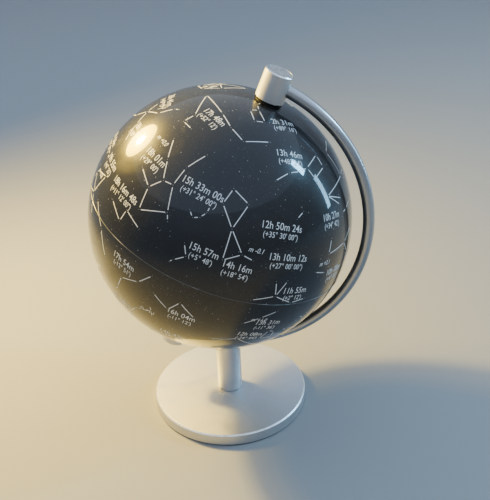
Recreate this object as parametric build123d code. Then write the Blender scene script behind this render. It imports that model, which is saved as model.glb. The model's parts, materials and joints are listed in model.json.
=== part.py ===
from build123d import *
import math
import os

# Desktop star globe on an aluminium stand.
# Millimetres, +Z up.  The origin is the centre of the pad's underside, where the stand meets the desk.
# The arm bends in the XZ plane, and the top of the globe's axis leans towards +X.

# ---- driving dimensions -------------------------------------------------------------------------
globe_diameter = 115.0
shell_wall = 2.0
axis_tilt = 22.5
globe_centre_height = 100.0

base_diameter = 76.0
base_thickness = 6.0
base_top_chamfer = 0.6
base_bottom_chamfer = 0.4
pad_diameter = 69.6
pad_thickness = 1.1
pad_proud = 0.5
pad_side_gap = 0.2

bar_diameter = 12.0
rod_diameter = 5.0
arm_radius = 64.5
knob_chamfer = 0.45
post_chamfer = 0.4
post_top_below_rod_centre = 0.5

knob_face = 58.3
north_knob_length = 12.0
south_knob_length = 14.0
arm_socket_floor = 3.5
cap_diameter = 10.4
cap_thickness = 1.0
cap_recess_depth = 1.05
cap_chamfer = 0.15

pivot_diameter = 4.0
pivot_bore_diameter = 4.1
pivot_tip = 46.0
pin_top = 68.6
screw_body_diameter = 6.0

bush_body_diameter = 8.0
bush_tip = 48.0
flange_diameter = 11.0
flange_seat = 57.0
flange_thickness = 0.7
flange_seat_diameter = 11.4
boss_diameter = 16.0
boss_tip = 49.0

thrust_washer_diameter = 9.6
thrust_washer_bore = 4.2
thrust_washer_thickness = 0.5
spring_washer_outer = 9.0
spring_washer_bore = 4.6
spring_washer_stock = 0.3
spring_pocket_diameter = 9.4
spring_pocket_depth = 1.0

ring_half_height = 5.0
ring_wall = 2.1

grub_diameter = 3.0
grub_key = 1.5
grub_key_depth = 1.4
grub_setback = 0.3

arm_screw_diameter = 2.5
arm_screw_clearance = 2.7
arm_screw_head_diameter = 4.5
arm_screw_head_height = 1.5
arm_screw_length = 14.0
arm_flat_depth = 0.6
arm_flat_length = 6.0

base_screw_diameter = 4.0
base_screw_clearance = 4.4
base_screw_head_diameter = 7.0
base_screw_head_height = 2.2
base_screw_pocket = 7.6
base_screw_web = 2.6
base_screw_bite = 10.0
screw_key_depth = 1.1

# ---- worked out from the driving dimensions -----------------------------------------------------
globe_radius = globe_diameter / 2
inner_radius = globe_radius - shell_wall
bar_radius = bar_diameter / 2
rod_radius = rod_diameter / 2
base_underside = pad_proud
base_top = base_underside + base_thickness
pad_recess_depth = pad_thickness - pad_proud
rod_low_centre = globe_centre_height - arm_radius
post_top = rod_low_centre - post_top_below_rod_centre
tilt = math.radians(axis_tilt)
upright = (Align.CENTER, Align.CENTER, Align.MIN)

# The polar frame sits at the globe's centre with its Z along the globe's axis, north up,
# and its X in the arm's plane, on the arm's side.
polar_frame = Plane(
    origin=(0, 0, globe_centre_height),
    x_dir=(math.cos(tilt), 0, -math.sin(tilt)),
    z_dir=(math.sin(tilt), 0, math.cos(tilt)),
).location


def rod_between(radius, low, high):
    """A solid cylinder about Z between two heights."""
    return Pos(0, 0, low) * Cylinder(radius, high - low, align=upright)


def ring_between(outer, inner, low, high):
    """A flat ring about Z between two heights."""
    return rod_between(outer, low, high) - rod_between(inner, low, high)


def rim_edges(solid, height):
    """The circular edges that lie at one height."""
    return [e for e in solid.edges().filter_by(GeomType.CIRCLE) if abs(e.center().Z - height) < 1e-4]


def outer_rim(solid, height):
    """The largest circular edge at one height."""
    return max(rim_edges(solid, height), key=lambda e: e.radius)


def south(piece):
    """The same piece turned over, for the south end of the axis."""
    return Rotation(180, 0, 0) * piece


def hex_pocket(across_flats, low, high):
    """A hexagonal key pocket between two heights."""
    pocket = extrude(RegularPolygon(across_flats / math.sqrt(3), 6), high - low)
    return Pos(0, 0, low) * pocket


def save(piece, name):
    """Write one node in the row frame."""
    export_step(piece, f"parts/{name}.step")


# ---- globe --------------------------------------------------------------------------------------
def globe_half():
    """North shell: a hollow half ball with a boss and a bore for the bush at the pole."""
    shell = Sphere(globe_radius) - Sphere(inner_radius)
    boss = rod_between(boss_diameter / 2, boss_tip, globe_radius) & Sphere(globe_radius - shell_wall / 2)
    above_equator = rod_between(globe_radius + 1, 0, globe_radius + 1)
    half = (shell & above_equator) + boss
    half -= rod_between(bush_body_diameter / 2, boss_tip - 1, globe_radius + 1)
    half -= rod_between(flange_seat_diameter / 2, flange_seat, globe_radius + 1)
    return half


def joining_ring():
    """Inner band that lines up the two shells and holds the glued seam at the equator."""
    band = Sphere(inner_radius) & rod_between(globe_radius, -ring_half_height, ring_half_height)
    return band - rod_between(inner_radius - ring_wall, -ring_half_height, ring_half_height)


def bush():
    """Flanged nylon bush pressed into the pole, with the running bore for the pivot."""
    body = rod_between(bush_body_diameter / 2, bush_tip, flange_seat)
    flange = rod_between(flange_diameter / 2, flange_seat, flange_seat + flange_thickness)
    piece = body + flange
    piece = chamfer(outer_rim(piece, flange_seat + flange_thickness), 0.2)
    piece = chamfer(outer_rim(piece, bush_tip), 0.3)
    return piece - rod_between(pivot_bore_diameter / 2, bush_tip, flange_seat + flange_thickness)


# ---- pivots and washers ---------------------------------------------------------------------------
def thrust_washer():
    """Flat slip washer between the bush flange and the knob."""
    return ring_between(
        thrust_washer_diameter / 2,
        thrust_washer_bore / 2,
        knob_face - thrust_washer_thickness,
        knob_face,
    )


def spring_washer():
    """Dished spring washer that takes up the end play from inside the south knob."""
    inner = spring_washer_bore / 2
    outer = spring_washer_outer / 2
    low = knob_face
    high = knob_face + spring_pocket_depth
    section = Polyline(
        (inner, 0, low),
        (outer, 0, high - spring_washer_stock),
        (outer, 0, high),
        (inner, 0, low + spring_washer_stock),
        close=True,
    )
    return revolve(make_face(section), Axis.Z)


def north_pin():
    """Steel pivot pin held in the north knob."""
    pin = rod_between(pivot_diameter / 2, pivot_tip, pin_top)
    return chamfer([outer_rim(pin, pivot_tip), outer_rim(pin, pin_top)], 0.4)


def pivot_screw():
    """Slotted pivot screw: a plain tip runs in the bush and the thick body sits in the knob."""
    body_low = knob_face + spring_pocket_depth
    body_high = knob_face + south_knob_length - cap_recess_depth - 0.6
    tip = rod_between(pivot_diameter / 2, pivot_tip, body_low)
    body = rod_between(screw_body_diameter / 2, body_low, body_high)
    body = chamfer([outer_rim(body, body_low), outer_rim(body, body_high)], 0.35)
    piece = chamfer(outer_rim(tip, pivot_tip), 0.4) + body
    slot = Pos(0, 0, body_high) * Box(screw_body_diameter + 1, 0.9, 2.4)
    return piece - slot


# ---- knobs ----------------------------------------------------------------------------------------
def toward_back(piece, side):
    """Turn a piece lying along Z to point at the back, from the north (1) or the south (-1) knob."""
    return Pos(0, 0, arm_radius) * Rotation(-90 * side, 0, 0) * piece


def knob(length, bore_diameter, arm, side):
    """Round end knob with an axial bore, a side socket for the arm and a recess for its cap."""
    top = knob_face + length
    body = rod_between(bar_radius, knob_face, top)
    body = chamfer([outer_rim(body, knob_face), outer_rim(body, top)], knob_chamfer)
    body -= rod_between(bore_diameter / 2, knob_face - 1, top)
    body -= rod_between(cap_diameter / 2, top - cap_recess_depth, top)
    grub_hole = toward_back(rod_between(grub_diameter / 2, 0, bar_radius + 1), side)
    return body - grub_hole - arm


def knob_cap(length):
    """Thin blasted disc that closes the knob's outer end."""
    low = knob_face + length - cap_recess_depth
    disc = rod_between(cap_diameter / 2, low, low + cap_thickness)
    return chamfer(outer_rim(disc, low + cap_thickness), cap_chamfer)


def grub_screw(bore_diameter, side):
    """Cup-point grub screw in the back of a knob, tight against the pivot."""
    tip = bore_diameter / 2
    end = bar_radius - grub_setback
    screw = rod_between(grub_diameter / 2, tip, end)
    screw = chamfer([outer_rim(screw, tip), outer_rim(screw, end)], 0.25)
    screw -= hex_pocket(grub_key, end - grub_key_depth, end)
    return toward_back(screw, side)


# ---- stand ----------------------------------------------------------------------------------------
def arm_rod():
    """Round rod bent to a half circle, from one knob's socket to the other's, in the polar frame."""
    end_angle = math.degrees(math.acos(arm_socket_floor / arm_radius))
    path = CenterArc((0, 0, 0), arm_radius, -end_angle, 2 * end_angle)
    path = Rotation(90, 0, 0) * path
    section = Plane(origin=path @ 0, z_dir=path % 0) * Circle(rod_radius)
    return sweep(section, path=path)


def arm_with_seat(rod):
    """The arm in the row frame, with the screw's hole and a small flat at its lowest point."""
    flat_level = rod_low_centre + rod_radius - arm_flat_depth
    flat = Pos(0, 0, flat_level) * Box(arm_flat_length, rod_diameter + 1, 4, align=upright)
    hole = rod_between(arm_screw_clearance / 2, rod_low_centre - 4, rod_low_centre + 4)
    return rod - flat - hole


def arm_screw():
    """Pan-head screw that holds the arm down on the post."""
    seat = rod_low_centre + rod_radius - arm_flat_depth
    head = rod_between(arm_screw_head_diameter / 2, seat, seat + arm_screw_head_height)
    head = fillet(outer_rim(head, seat + arm_screw_head_height), 0.6)
    shank = rod_between(arm_screw_diameter / 2, seat - arm_screw_length, seat)
    shank = chamfer(outer_rim(shank, seat - arm_screw_length), 0.3)
    key_top = seat + arm_screw_head_height
    return head + shank - hex_pocket(1.5, key_top - 0.9, key_top)


def post(arm):
    """Round post with a saddle for the arm on top and a tapped hole at each end."""
    body = rod_between(bar_radius, base_top, post_top)
    body = chamfer([outer_rim(body, base_top), outer_rim(body, post_top)], post_chamfer)
    seat = rod_low_centre + rod_radius - arm_flat_depth
    body -= rod_between(arm_screw_diameter / 2, seat - arm_screw_length - 1, post_top + 1)
    body -= rod_between(base_screw_diameter / 2, base_top, base_top + base_screw_bite)
    return body - arm


def base_disc():
    """Solid turned base with a recess for the pad and a pocket for the screw's head below."""
    disc = rod_between(base_diameter / 2, base_underside, base_top)
    disc = chamfer(outer_rim(disc, base_top), base_top_chamfer)
    disc = chamfer(outer_rim(disc, base_underside), base_bottom_chamfer)
    recess = rod_between(pad_diameter / 2 + pad_side_gap, base_underside, base_underside + pad_recess_depth)
    pocket = rod_between(base_screw_pocket / 2, base_underside, base_top - base_screw_web)
    hole = rod_between(base_screw_clearance / 2, base_underside, base_top)
    return disc - recess - pocket - hole


def base_pad():
    """Dark rubber disc glued under the base, a little proud of it."""
    pad = rod_between(pad_diameter / 2, 0, pad_thickness)
    return chamfer(outer_rim(pad, 0), 0.2)


def base_screw():
    """Cap screw that pulls the post down on the base, hidden under the pad."""
    seat = base_top - base_screw_web
    head = rod_between(base_screw_head_diameter / 2, seat - base_screw_head_height, seat)
    head = chamfer(outer_rim(head, seat - base_screw_head_height), 0.3)
    shank = rod_between(base_screw_diameter / 2, seat, base_top + base_screw_bite - 1)
    shank = chamfer(outer_rim(shank, base_top + base_screw_bite - 1), 0.4)
    head_low = seat - base_screw_head_height
    return head + shank - hex_pocket(2.5, head_low, head_low + screw_key_depth)


# ---- write every node -----------------------------------------------------------------------------
os.makedirs("parts", exist_ok=True)

polar_arm = arm_rod()
arm = arm_with_seat(polar_frame * polar_arm)
turned_arm = south(polar_arm)

north_knob = knob(north_knob_length, pivot_diameter, polar_arm, 1)
south_knob = knob(south_knob_length, screw_body_diameter, turned_arm, -1)
south_knob -= rod_between(spring_pocket_diameter / 2, knob_face, knob_face + spring_pocket_depth)

polar_nodes = {
    "globe_north_half": globe_half(),
    "globe_south_half": south(globe_half()),
    "equator_joining_ring": joining_ring(),
    "north_bush": bush(),
    "south_bush": south(bush()),
    "north_thrust_washer": thrust_washer(),
    "south_thrust_washer": south(thrust_washer()),
    "south_spring_washer": south(spring_washer()),
    "north_pivot_pin": north_pin(),
    "south_pivot_screw": south(pivot_screw()),
    "north_knob": north_knob,
    "south_knob": south(south_knob),
    "north_knob_cap": knob_cap(north_knob_length),
    "south_knob_cap": south(knob_cap(south_knob_length)),
    "north_grub_screw": grub_screw(pivot_diameter, 1),
    "south_grub_screw": south(grub_screw(screw_body_diameter, -1)),
}
for name, piece in polar_nodes.items():
    save(polar_frame * piece, name)

save(arm, "meridian_arm")
save(arm_screw(), "arm_screw")
save(post(arm), "post")
save(base_disc(), "base_disc")
save(base_pad(), "base_pad")
save(base_screw(), "base_screw")
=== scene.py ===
import json
import math
import random

import bmesh
import bpy
from mathutils import Matrix, Vector


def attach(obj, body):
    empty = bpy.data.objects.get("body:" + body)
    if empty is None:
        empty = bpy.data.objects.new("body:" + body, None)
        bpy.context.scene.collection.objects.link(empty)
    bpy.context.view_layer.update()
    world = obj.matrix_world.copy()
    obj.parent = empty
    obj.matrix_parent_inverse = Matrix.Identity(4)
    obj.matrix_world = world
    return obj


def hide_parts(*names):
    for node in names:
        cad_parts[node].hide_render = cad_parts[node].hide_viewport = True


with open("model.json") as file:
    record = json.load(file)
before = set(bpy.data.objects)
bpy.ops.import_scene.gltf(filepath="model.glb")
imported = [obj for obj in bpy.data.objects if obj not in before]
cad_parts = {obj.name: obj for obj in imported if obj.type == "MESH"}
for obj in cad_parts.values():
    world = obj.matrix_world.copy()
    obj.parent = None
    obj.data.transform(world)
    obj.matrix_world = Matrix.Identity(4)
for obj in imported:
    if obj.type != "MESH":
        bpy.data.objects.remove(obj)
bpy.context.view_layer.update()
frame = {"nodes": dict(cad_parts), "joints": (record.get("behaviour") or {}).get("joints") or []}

# ---- base disc ----
# A slice of aluminium bar, faced and edged on a lathe, fine bead-blasted and clear anodised.
# The thin top edge is cut again after blasting, which leaves it bright. Below are a recess for the
# pad and a pocket for the screw that holds the post.
MM = 0.001
base_radius = 38.0
base_low = 0.5
base_high = 6.5
base_chamfer = 0.6
base_lower_chamfer = 0.4
pad_recess_radius = 35.0
pad_recess_top = 1.1
screw_pocket_radius = 3.8
screw_pocket_top = 3.9
screw_hole_radius = 2.2
base_sides = 256
bright_finish = 1


def eased(corners, steps=3):
    """Rounds each (radius, height, ease, finish) corner of a closed outline by its ease, in mm.

    A corner that gives no ease is sharp, and one that gives no finish has the first."""
    points = []
    for index, corner in enumerate(corners):
        radius, height, ease, finish = (*corner, 0, 0)[:4]
        here = Vector((radius, height))
        if not ease:
            points.append((here, finish))
            continue
        back = (Vector(corners[index - 1][:2]) - here).normalized()
        ahead = (Vector(corners[(index + 1) % len(corners)][:2]) - here).normalized()
        half = back.angle(ahead) / 2
        centre = here + (back + ahead).normalized() * ease / math.sin(half)
        first = here + back * ease / math.tan(half) - centre
        last = here + ahead * ease / math.tan(half) - centre
        sweep = first.angle_signed(last)
        for step in range(steps + 1):
            spoke = first.copy()
            spoke.rotate(Matrix.Rotation(-sweep * step / steps, 2))
            points.append((centre + spoke, finish))
    return points


def linked_piece(name, mesh):
    """A new object for a mesh, in the scene."""
    piece = bpy.data.objects.new(name, mesh)
    bpy.context.scene.collection.objects.link(piece)
    return piece


def mesh_from(form, name, place=Matrix.Identity(4)):
    """Finishes a bmesh built in mm: normals outward, smooth, moved to its place, in metres."""
    bmesh.ops.recalc_face_normals(form, faces=form.faces)
    for face in form.faces:
        face.smooth = True
    bmesh.ops.transform(form, matrix=Matrix.Scale(MM, 4) @ place, verts=form.verts)
    mesh = bpy.data.meshes.new(name)
    form.to_mesh(mesh)
    form.free()
    return mesh


def circle(sides, radius=1.0):
    """Points evenly spaced round a circle, as (x, y) pairs."""
    turns = [2 * math.pi * side / sides for side in range(sides)]
    return [(radius * math.cos(turn), radius * math.sin(turn)) for turn in turns]


def turned(name, corners, place=Matrix.Identity(4), sides=128):
    """A lathe-turned piece: a closed outline of corners spun about its place's Z."""
    form = bmesh.new()
    outline = eased(corners)
    rings = []
    for point, finish in outline:
        spots = circle(sides, point.x) if point.x > 1e-6 else [(0, 0)]
        rings.append([form.verts.new((*spot, point.y)) for spot in spots])
    for index, ring in enumerate(rings):
        following = rings[(index + 1) % len(rings)]
        if len(ring) == 1 and len(following) == 1:
            continue
        for side in range(sides):
            beside = (side + 1) % sides
            loop = [ring[side % len(ring)], ring[beside % len(ring)]]
            loop += [following[beside % len(following)], following[side % len(following)]]
            face = form.faces.new(list(dict.fromkeys(loop)))
            face.material_index = outline[index][1]
    return linked_piece(name, mesh_from(form, name, place))


def keep_flats_flat(piece):
    """Lets the large faces set the shading, so that small rounded edges catch a thin line of light."""
    weighted = piece.modifiers.new("flat_faces_stay_flat", "WEIGHTED_NORMAL")
    weighted.weight = 80


def placed(tree, kind, values=None, links=None, **settings):
    """One shader node, with its fields set and its sockets given values or links."""
    made = tree.nodes.new(kind)
    for field, value in settings.items():
        setattr(made, field, value)
    for socket, value in (values or {}).items():
        made.inputs[socket].default_value = value
    for socket, source in (links or {}).items():
        tree.links.new(source, made.inputs[socket])
    return made


def feed(tree, shader, **sources):
    """Links colours and masks to the shader's sockets."""
    for socket, source in sources.items():
        tree.links.new(source, shader.inputs[socket.replace("_", " ")])


def new_group(name, inputs, outputs):
    """An empty shader node group with named inputs, their starting values, and named outputs."""
    group = bpy.data.node_groups.new(name, "ShaderNodeTree")
    for label, value in inputs.items():
        kind = "NodeSocketFloat" if isinstance(value, float) else "NodeSocketVector"
        group.interface.new_socket(label, in_out="INPUT", socket_type=kind).default_value = value
    for label in outputs:
        group.interface.new_socket(label, in_out="OUTPUT", socket_type="NodeSocketFloat")
    return group, group.nodes.new("NodeGroupInput"), group.nodes.new("NodeGroupOutput")


def new_finish(name, **sockets):
    """A material with its shader's constant sockets set. Returns the material, its tree and shader."""
    material = bpy.data.materials.new(name)
    material.use_nodes = True
    shader = material.node_tree.nodes["Principled BSDF"]
    for socket, value in sockets.items():
        shader.inputs[socket.replace("_", " ")].default_value = value
    return material, material.node_tree, shader


def coordinates(tree):
    """The piece's own coordinates, in metres, which move with it."""
    return placed(tree, "ShaderNodeTexCoord").outputs["Object"]


def use_group(tree, group, **values):
    """A shared effect placed in a material, read in the piece's own coordinates."""
    named = {label.replace("_", " "): value for label, value in values.items()}
    return placed(tree, "ShaderNodeGroup", named, {"Place": coordinates(tree)}, node_tree=group).outputs


def mixed_colour(tree, share, first, second):
    """One colour fading into another by a mask."""
    mixer = placed(tree, "ShaderNodeMix", None, {"Factor": share}, data_type="RGBA")
    for socket, value in ((6, first), (7, second)):
        if isinstance(value, tuple):
            mixer.inputs[socket].default_value = (*value, 1)
        else:
            tree.links.new(value, mixer.inputs[socket])
    return mixer.outputs[2]


def ranged(tree, source, low, high, start=0.0, end=1.0):
    """A mask stretched from start..end to low..high."""
    values = {"From Min": start, "From Max": end, "To Min": low, "To Max": high}
    return placed(tree, "ShaderNodeMapRange", values, {"Value": source}).outputs["Result"]


def combined(tree, operation, first, second):
    """Two masks put together by a sum, a product or a comparison."""
    return placed(tree, "ShaderNodeMath", None, {0: first, 1: second}, operation=operation).outputs[0]


def bumped(tree, shader, height, depth):
    """Feeds a height into the shader's normal. Depth is in metres."""
    bump = placed(tree, "ShaderNodeBump", {"Distance": depth, "Strength": 1.0}, {"Height": height})
    feed(tree, shader, Normal=bump.outputs["Normal"])


# Bead blasting: a tight field of tiny dents, a slow drift in tone where the gun passed, and the
# patches that handling has rubbed.
blast, blast_in, blast_out = new_group(
    "bead_blast", {"Place": (0.0, 0.0, 0.0), "Dents per metre": 2600.0}, ("Dents", "Drift", "Handling")
)
blast_place = {"Vector": blast_in.outputs["Place"]}
dent_scale = {**blast_place, "Scale": blast_in.outputs["Dents per metre"]}
dent_noise = placed(blast, "ShaderNodeTexNoise", {"Detail": 3.0, "Roughness": 0.65}, dent_scale)
dent_cells = placed(blast, "ShaderNodeTexVoronoi", None, dent_scale)
dent_field = combined(blast, "ADD", dent_noise.outputs["Fac"], dent_cells.outputs["Distance"])
drift_look = {"Scale": 55.0, "Detail": 5.0, "Roughness": 0.6}
drift_noise = placed(blast, "ShaderNodeTexNoise", drift_look, blast_place)
touch_look = {"Scale": 38.0, "Detail": 2.0, "Distortion": 2.5}
touch_noise = placed(blast, "ShaderNodeTexNoise", touch_look, blast_place)
touch_mask = ranged(blast, touch_noise.outputs["Fac"], 0.0, 1.0, 0.52, 0.72)
feed(blast, blast_out, Dents=dent_field, Drift=drift_noise.outputs["Fac"], Handling=touch_mask)

# Dust: a few tiny specks in each square centimetre, each a little different in size.
dust, dust_in, dust_out = new_group(
    "dust_specks", {"Place": (0.0, 0.0, 0.0), "Cells per metre": 300.0, "Speck size": 0.10}, ("Specks",)
)
dust_place = {"Vector": dust_in.outputs["Place"]}
dust_scale = {**dust_place, "Scale": dust_in.outputs["Cells per metre"]}
dust_cells = placed(dust, "ShaderNodeTexVoronoi", None, dust_scale)
dust_luck = placed(dust, "ShaderNodeSeparateColor", None, {"Color": dust_cells.outputs["Color"]})
dust_patches = placed(dust, "ShaderNodeTexNoise", {"Scale": 22.0, "Detail": 1.0}, dust_place)
dust_reach = combined(dust, "MULTIPLY", dust_luck.outputs["Red"], dust_in.outputs["Speck size"])
dust_size = combined(dust, "MULTIPLY", dust_reach, dust_patches.outputs["Fac"])
feed(dust, dust_out, Specks=combined(dust, "LESS_THAN", dust_cells.outputs["Distance"], dust_size))


def blasted_metal(name, colour, shade, roughness, dent_depth, dents=2600.0):
    """Satin aluminium with its dents, drift, finger marks and dust."""
    material, tree, shader = new_finish(name, Metallic=0.9, IOR=1.45)
    marks = use_group(tree, blast, Dents_per_metre=dents)
    specks = use_group(tree, dust, Cells_per_metre=260.0, Speck_size=0.16)["Specks"]
    tone = mixed_colour(tree, marks["Drift"], shade, colour)
    grained = mixed_colour(tree, ranged(tree, marks["Dents"], 0.0, 0.22, 0.5, 1.3), tone, (0.42, 0.42, 0.43))
    dusted = mixed_colour(tree, specks, grained, (0.80, 0.78, 0.74))
    worn = ranged(tree, marks["Handling"], roughness, roughness - 0.07)
    feed(tree, shader, Base_Color=dusted, Roughness=worn)
    bumped(tree, shader, marks["Dents"], dent_depth)
    return material


# Turning marks: rings round an axis, from the tool's feed. The same place along the axis gives the
# same tone, so a round piece shows rings and its end faces stay even.
turning, turning_in, turning_out = new_group(
    "turning_marks",
    {"Place": (0.0, 0.0, 0.0), "Axis": (0.0, 0.0, 1.0), "Rings per metre": 5000.0},
    ("Rings", "Wear"),
)
turning_place = turning_in.outputs["Place"]
along_axis = placed(
    turning, "ShaderNodeVectorMath", None, {0: turning_place, 1: turning_in.outputs["Axis"]},
    operation="DOT_PRODUCT",
)
ring_noise = placed(
    turning, "ShaderNodeTexNoise", {"Detail": 2.0, "Roughness": 0.7},
    {"W": along_axis.outputs["Value"], "Scale": turning_in.outputs["Rings per metre"]},
    noise_dimensions="1D",
)
wear_noise = placed(
    turning, "ShaderNodeTexNoise", {"Scale": 420.0, "Detail": 4.0}, {"Vector": turning_place}
)
wear = ranged(turning, wear_noise.outputs["Fac"], 0.0, 1.0, 0.45, 0.75)
feed(turning, turning_out, Rings=ring_noise.outputs["Fac"], Wear=wear)


def turned_finish(name, axis, rings, scratch_depth, colours, roughness, metallic=1.0):
    """Metal that shows the tool's rings. Its colour and roughness each go from fresh to worn."""
    material, tree, shader = new_finish(name, Metallic=metallic)
    marks = use_group(tree, turning, Axis=axis, Rings_per_metre=rings)
    worn_colour = mixed_colour(tree, marks["Wear"], *colours)
    feed(tree, shader, Base_Color=worn_colour, Roughness=ranged(tree, marks["Wear"], *roughness))
    bumped(tree, shader, marks["Rings"], scratch_depth)
    return material


def cut_metal(name, colour, roughness, axis, rings=5000.0, scratch_depth=0.000004):
    """Bright metal, with small dull wear patches."""
    dull = tuple(channel * 0.72 for channel in colour)
    return turned_finish(name, axis, rings, scratch_depth, (colour, dull), (roughness, roughness + 0.18))


upright = (0.0, 0.0, 1.0)
base_finish = blasted_metal(
    "blasted_base", (0.77, 0.77, 0.775), (0.68, 0.682, 0.69), 0.54, dent_depth=0.000011
)
bright_base_edge = cut_metal("bright_base_edge", (0.95, 0.95, 0.95), 0.40, upright)

base_disc = turned(
    "base_disc_turned",
    [
        (screw_hole_radius, base_high),
        (base_radius - base_chamfer, base_high, 0.08, bright_finish),
        (base_radius, base_high - base_chamfer, 0.08),
        (base_radius, base_low + base_lower_chamfer, 0.12),
        (base_radius - base_lower_chamfer, base_low, 0.08),
        (pad_recess_radius, base_low, 0.08),
        (pad_recess_radius, pad_recess_top),
        (screw_pocket_radius, pad_recess_top),
        (screw_pocket_radius, screw_pocket_top),
        (screw_hole_radius, screw_pocket_top),
    ],
    sides=base_sides,
)
base_disc.data.materials.append(base_finish)
base_disc.data.materials.append(bright_base_edge)
keep_flats_flat(base_disc)
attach(base_disc, "stand")
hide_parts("base_disc")

# ---- base pad ----
# A disc of fine-grained black rubber, glued into the recess and half a millimetre proud of it, so
# that the base seems to float on a thin dark line. Its lower edge is rubbed round.
pad_radius = 34.8

pad_rubber, pad_tree, pad_shader = new_finish("pad_rubber", Roughness=0.85)
pad_marks = use_group(pad_tree, blast, Dents_per_metre=1500.0)
pad_dust = use_group(pad_tree, dust, Cells_per_metre=500.0, Speck_size=0.3)["Specks"]
pad_tone = mixed_colour(pad_tree, pad_marks["Drift"], (0.014, 0.014, 0.015), (0.038, 0.037, 0.036))
feed(pad_tree, pad_shader, Base_Color=mixed_colour(pad_tree, pad_dust, pad_tone, (0.22, 0.21, 0.19)))
bumped(pad_tree, pad_shader, pad_marks["Dents"], 0.00006)

base_pad = turned(
    "base_pad_rubber",
    [(0, 0), (pad_radius, 0, 0.25), (pad_radius, pad_recess_top, 0.1), (0, pad_recess_top)],
    sides=192,
)
base_pad.data.materials.append(pad_rubber)
keep_flats_flat(base_pad)
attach(base_pad, "stand")
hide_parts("base_pad")

# ---- base screw ----
# A zinc-plated cap screw, put in from below and hidden by the pad. The plating has fine turning
# rings, and it is a little darker where it has worn.
zinc_plate = cut_metal("zinc_plate", (0.66, 0.67, 0.66), 0.30, upright, 2400.0)


def finished(node, material):
    """Gives a carried-over piece its own material."""
    for holder in frame["nodes"][node].material_slots:
        holder.material = material


finished("base_screw", zinc_plate)

# ---- post ----
# A length of 12 mm aluminium bar with a small edge cut at both ends, blasted like the base. Its top
# is hollowed to a saddle for the arm, and it is tapped at both ends.
globe_centre = Vector(frame["joints"][0]["pos_m"]) / MM
globe_axis = Vector(frame["joints"][0]["axis"]).normalized()
bow_axis = Vector((globe_axis.z, 0, -globe_axis.x))
polar = Matrix((
    (bow_axis.x, 0, globe_axis.x, globe_centre.x),
    (bow_axis.y, 1, globe_axis.y, globe_centre.y),
    (bow_axis.z, 0, globe_axis.z, globe_centre.z),
    (0, 0, 0, 1),
))
rod_radius = 2.5
arm_radius = 64.5
arm_end_offset = 3.5
arm_reach = math.acos(arm_end_offset / arm_radius)
arm_steps = 220
rod_sides = 56
bar_radius = 6.0
post_high = 35.0
post_chamfer = 0.4
lower_tap_radius = 2.0
lower_tap_top = 16.5
upper_tap_radius = 1.25
upper_tap_bottom = 22.4


def skin(form, rings):
    """Joins each closed ring of corners to the next with a band of faces."""
    for ring, following in zip(rings, rings[1:]):
        for side in range(len(ring)):
            beside = (side + 1) % len(ring)
            form.faces.new((ring[side], ring[beside], following[beside], following[side]))


def closed_skin(form, rings):
    """A band of faces from ring to ring, with both ends closed."""
    skin(form, rings)
    form.faces.new(rings[0])
    form.faces.new(rings[-1])


def rod_mesh(name):
    """The arm's rod: a round bar bent to a half circle in the plane of the globe's axis."""
    form = bmesh.new()
    rings = []
    for step in range(arm_steps + 1):
        bend = arm_reach * (2 * step / arm_steps - 1)
        ring = []
        for out, across in circle(rod_sides, rod_radius):
            reach = arm_radius + out
            ring.append(form.verts.new((reach * math.cos(bend), across, reach * math.sin(bend))))
        rings.append(ring)
    closed_skin(form, rings)
    return mesh_from(form, name, polar)


def cylinder_cutter(radius, low, high, place):
    """A plain round cutter between two heights of a place, for holes."""
    corners = [(0, low), (radius, low), (radius, high), (0, high)]
    return turned("cutter", corners, place, sides=64)


def cut_away(piece, cutter):
    """Takes the cutter's shape out of the piece for good, and throws the cutter away."""
    modifier = piece.modifiers.new("cut", "BOOLEAN")
    modifier.operation = "DIFFERENCE"
    modifier.solver = "EXACT"
    modifier.object = cutter
    graph = bpy.context.evaluated_depsgraph_get()
    mesh = bpy.data.meshes.new_from_object(piece.evaluated_get(graph))
    piece.modifiers.clear()
    clean = bmesh.new()
    clean.from_mesh(mesh)
    bmesh.ops.remove_doubles(clean, verts=clean.verts, dist=0.000002)
    bmesh.ops.dissolve_degenerate(clean, edges=clean.edges, dist=0.000001)
    clean.to_mesh(mesh)
    clean.free()
    piece.data = mesh
    bpy.data.objects.remove(cutter)


def show_sharp(piece, angle=32):
    """Keeps true edges crisp on a piece that has been cut."""
    piece.data.set_sharp_from_angle(angle=math.radians(angle))


blasted_bar = blasted_metal(
    "blasted_bar", (0.74, 0.74, 0.75), (0.66, 0.662, 0.67), 0.48, dent_depth=0.000008, dents=3000.0
)
bright_bar_edge = cut_metal("bright_bar_edge", (0.94, 0.94, 0.94), 0.34, upright)

post = turned(
    "post_turned",
    [
        (lower_tap_radius, base_high),
        (bar_radius - post_chamfer, base_high, 0.05, bright_finish),
        (bar_radius, base_high + post_chamfer, 0.06),
        (bar_radius, post_high - post_chamfer, 0.06, bright_finish),
        (bar_radius - post_chamfer, post_high, 0.05),
        (upper_tap_radius, post_high),
        (upper_tap_radius, upper_tap_bottom),
        (0, upper_tap_bottom),
        (0, lower_tap_top),
        (lower_tap_radius, lower_tap_top),
    ],
)
post.data.materials.append(blasted_bar)
post.data.materials.append(bright_bar_edge)
cut_away(post, linked_piece("cutter", rod_mesh("cutter")))
show_sharp(post)
keep_flats_flat(post)
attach(post, "stand")
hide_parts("post")

# ---- meridian arm ----
# A 5 mm aluminium rod bent to a half circle, blasted and anodised with the rest. Its ends run into
# the knobs. At its lowest point it has a small flat and a hole for the screw into the post.
flat_height = 37.4
flat_length = 6
flat_depth = 4
hole_radius = 1.35
hole_low = 30
hole_high = 40

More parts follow.
